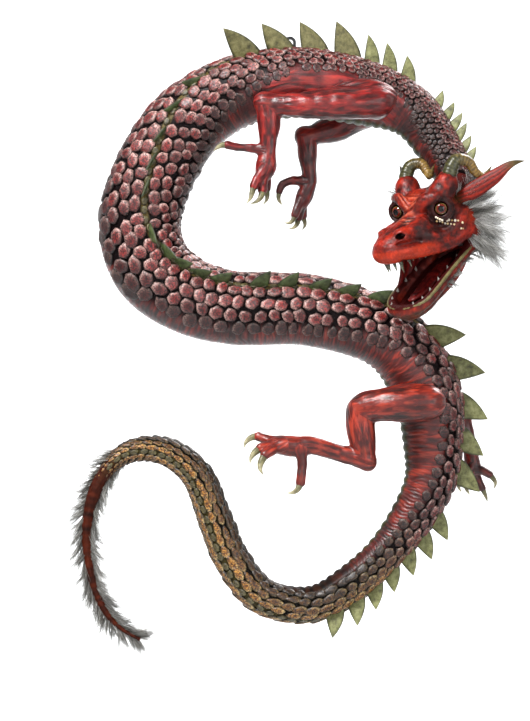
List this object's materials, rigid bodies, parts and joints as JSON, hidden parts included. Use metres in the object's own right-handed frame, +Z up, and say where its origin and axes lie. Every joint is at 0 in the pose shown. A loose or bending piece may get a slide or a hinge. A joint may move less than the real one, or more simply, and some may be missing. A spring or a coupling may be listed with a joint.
{
  "type": "hanging dragon kite figure",
  "caption": "Coiled four-legged scaled dragon kite figure with a jointed spine, legs, head and jaw, horned head, back fins, haired tail, hung from a line eye.",
  "frame": {"origin": "centre of the line eye's bore, from which the whole figure hangs", "axes": "+Z up, +X to the right seen from the side that carries the head, -Y towards that side; the coiled body lies along the XZ plane"},
  "size_m": [0.2157, 0.0769, 0.2993],
  "materials": {
    "spine": "satin moulded",
    "pin": "drawn wire",
    "skin_red": "foam latex skin, furrowed and scaled, satin",
    "skin_tail": "foam latex skin, scaled, ochre scales on dark brown",
    "limb_skin": "foam latex skin, furrowed, satin",
    "fin": "soft rubber, khaki, ribbed",
    "claw": "hard, satin, yellowish grey",
    "skull_skin": "latex skin over a hard skull, wrinkled",
    "jaw": "latex skin over a hard jaw, pale at the lip",
    "eye": "polished",
    "horn": "ridged, satin",
    "ear": "soft rubber, dark red",
    "tooth_dark": "polished dark",
    "tooth": "polished, worn bone",
    "tongue": "wet gloss",
    "hair": "combed fibre, grey"
  },
  "bodies": {
    "chest": {"chest_spine": "spine", "chest_body": "skin_red", "chest_hinge_pins": "pin", "chest_fins": "fin"},
    "neck": {"neck_spine": "spine", "neck_body": "skin_red", "neck_fins": "fin"},
    "head_yoke": {"head_yoke": "spine"},
    "head": {"skull": "skull_skin", "jaw_pin": "pin", "eyes": "eye", "horns": "horn", "ears": "ear", "upper_teeth": "tooth_dark", "mane": "hair"},
    "lower_jaw": {"lower_jaw": "jaw", "lower_teeth": "tooth", "tongue": "tongue"},
    "back": {"back_spine": "spine", "back_body": "skin_red", "back_fins": "fin"},
    "belly": {"belly_spine": "spine", "belly_body": "skin_red", "belly_hinge_pins": "pin", "belly_fins": "fin"},
    "waist": {"waist_spine": "spine", "waist_body": "skin_red", "waist_fins": "fin"},
    "hips": {"hips_spine": "spine", "hips_body": "skin_red", "hips_hinge_pins": "pin", "hips_fins": "fin"},
    "tail_base": {"tail_base_spine": "spine", "tail_base_body": "skin_tail", "tail_base_fins": "fin"},
    "tail_mid": {"tail_mid_spine": "spine", "tail_mid_body": "skin_tail", "tail_mid_hinge_pins": "pin"},
    "tail_bend": {"tail_bend_spine": "spine", "tail_bend_body": "skin_tail"},
    "tail_end": {"tail_end_spine": "spine", "tail_end_body": "skin_tail", "tail_end_hinge_pin": "pin", "tail_hair": "hair"},
    "near_front_upper_arm": {"near_front_upper_arm": "limb_skin"},
    "near_front_forearm": {"near_front_forearm": "limb_skin"},
    "near_front_foot": {"near_front_foot": "limb_skin", "near_front_claws": "claw"},
    "far_front_upper_arm": {"far_front_upper_arm": "limb_skin"},
    "far_front_forearm": {"far_front_forearm": "limb_skin"},
    "far_front_foot": {"far_front_foot": "limb_skin", "far_front_claws": "claw"},
    "near_hind_thigh": {"near_hind_thigh": "limb_skin"},
    "near_hind_shin": {"near_hind_shin": "limb_skin"},
    "near_hind_foot": {"near_hind_foot": "limb_skin", "near_hind_claws": "claw"},
    "far_hind_thigh": {"far_hind_thigh": "limb_skin"},
    "far_hind_shin": {"far_hind_shin": "limb_skin"},
    "far_hind_foot": {"far_hind_foot": "limb_skin", "far_hind_claws": "claw"}
  },
  "joints": [
    {"name": "neck_bend", "type": "hinge", "parent": "chest", "child": "neck", "pos_m": [0.057, -0.0045, -0.033], "axis": [0, 1, 0], "range_deg": [-10, 10]},
    {"name": "head_turn", "type": "hinge", "parent": "neck", "child": "head_yoke", "pos_m": [0.0795, -0.0165, -0.0675], "axis": [-0.1983, -0.1664, 0.9659], "range_deg": [-5, 8]},
    {"name": "head_nod", "type": "hinge", "parent": "head_yoke", "child": "head", "pos_m": [0.0795, -0.0165, -0.0675], "axis": [0.6428, -0.766, 0], "range_deg": [-4, 6]},
    {"name": "jaw_open", "type": "hinge", "parent": "head", "child": "lower_jaw", "pos_m": [0.07636, -0.01786, -0.09594], "axis": [0.6428, -0.766, 0], "range_deg": [-14, 6]},
    {"name": "back_bend", "type": "hinge", "parent": "chest", "child": "back", "pos_m": [-0.028, -0.0045, -0.025], "axis": [0, 1, 0], "range_deg": [-5, 10]},
    {"name": "belly_bend", "type": "hinge", "parent": "back", "child": "belly", "pos_m": [-0.0705, -0.0045, -0.08], "axis": [0, -1, 0], "range_deg": [-10, 10]},
    {"name": "waist_bend", "type": "hinge", "parent": "belly", "child": "waist", "pos_m": [-0.026, -0.0045, -0.1265], "axis": [0, 1, 0], "range_deg": [-10, 10]},
    {"name": "hips_bend", "type": "hinge", "parent": "waist", "child": "hips", "pos_m": [0.046, -0.0045, -0.1395], "axis": [0, -1, 0], "range_deg": [-10, 10]},
    {"name": "tail_base_bend", "type": "hinge", "parent": "hips", "child": "tail_base", "pos_m": [0.0645, -0.0045, -0.212], "axis": [0, 1, 0], "range_deg": [-10, 10]},
    {"name": "tail_mid_bend", "type": "hinge", "parent": "tail_base", "child": "tail_mid", "pos_m": [0.01, -0.0045, -0.266], "axis": [0, -1, 0], "range_deg": [-10, 10]},
    {"name": "tail_rise_bend", "type": "hinge", "parent": "tail_mid", "child": "tail_bend", "pos_m": [-0.0345, -0.0045, -0.228], "axis": [0, 1, 0], "range_deg": [-10, 10]},
    {"name": "tail_end_bend", "type": "hinge", "parent": "tail_bend", "child": "tail_end", "pos_m": [-0.078, -0.0045, -0.195], "axis": [0, -1, 0], "range_deg": [-10, 10]},
    {"name": "near_shoulder_swing", "type": "hinge", "parent": "chest", "child": "near_front_upper_arm", "pos_m": [0.0407, -0.0045, -0.03], "axis": [0, 1, 0], "range_deg": [-20, 25]},
    {"name": "near_elbow_bend", "type": "hinge", "parent": "near_front_upper_arm", "child": "near_front_forearm", "pos_m": [-0.011, -0.027, -0.031], "axis": [0, -1, 0], "range_deg": [-25, 14]},
    {"name": "near_wrist_bend", "type": "hinge", "parent": "near_front_forearm", "child": "near_front_foot", "pos_m": [-0.0105, -0.027, -0.053], "axis": [0, -1, 0], "range_deg": [-20, 30]},
    {"name": "far_shoulder_swing", "type": "hinge", "parent": "chest", "child": "far_front_upper_arm", "pos_m": [0.0407, -0.0045, -0.03], "axis": [0, 1, 0], "range_deg": [-20, 25]},
    {"name": "far_elbow_bend", "type": "hinge", "parent": "far_front_upper_arm", "child": "far_front_forearm", "pos_m": [0.008, 0.017, -0.0435], "axis": [0, -1, 0], "range_deg": [-25, 28]},
    {"name": "far_wrist_bend", "type": "hinge", "parent": "far_front_forearm", "child": "far_front_foot", "pos_m": [0.0098, 0.0165, -0.065], "axis": [0, -1, 0], "range_deg": [-20, 30]},
    {"name": "near_hip_swing", "type": "hinge", "parent": "hips", "child": "near_hind_thigh", "pos_m": [0.065, -0.0045, -0.1705], "axis": [0, 1, 0], "range_deg": [-15, 20]},
    {"name": "near_knee_bend", "type": "hinge", "parent": "near_hind_thigh", "child": "near_hind_shin", "pos_m": [0.0315, -0.0225, -0.1725], "axis": [0, -1, 0], "range_deg": [-20, 9]},
    {"name": "near_heel_bend", "type": "hinge", "parent": "near_hind_shin", "child": "near_hind_foot", "pos_m": [0.0348, -0.0225, -0.197], "axis": [0, -1, 0], "range_deg": [-3, 20]},
    {"name": "far_hip_swing", "type": "hinge", "parent": "hips", "child": "far_hind_thigh", "pos_m": [0.065, -0.0045, -0.1705], "axis": [0, 1, 0], "range_deg": [-15, 20]},
    {"name": "far_knee_bend", "type": "hinge", "parent": "far_hind_thigh", "child": "far_hind_shin", "pos_m": [0.0815, 0.0145, -0.176], "axis": [0, -1, 0], "range_deg": [-20, 25]},
    {"name": "far_ankle_bend", "type": "hinge", "parent": "far_hind_shin", "child": "far_hind_foot", "pos_m": [0.0865, 0.0145, -0.196], "axis": [0, -1, 0], "range_deg": [-20, 25]}
  ]
}
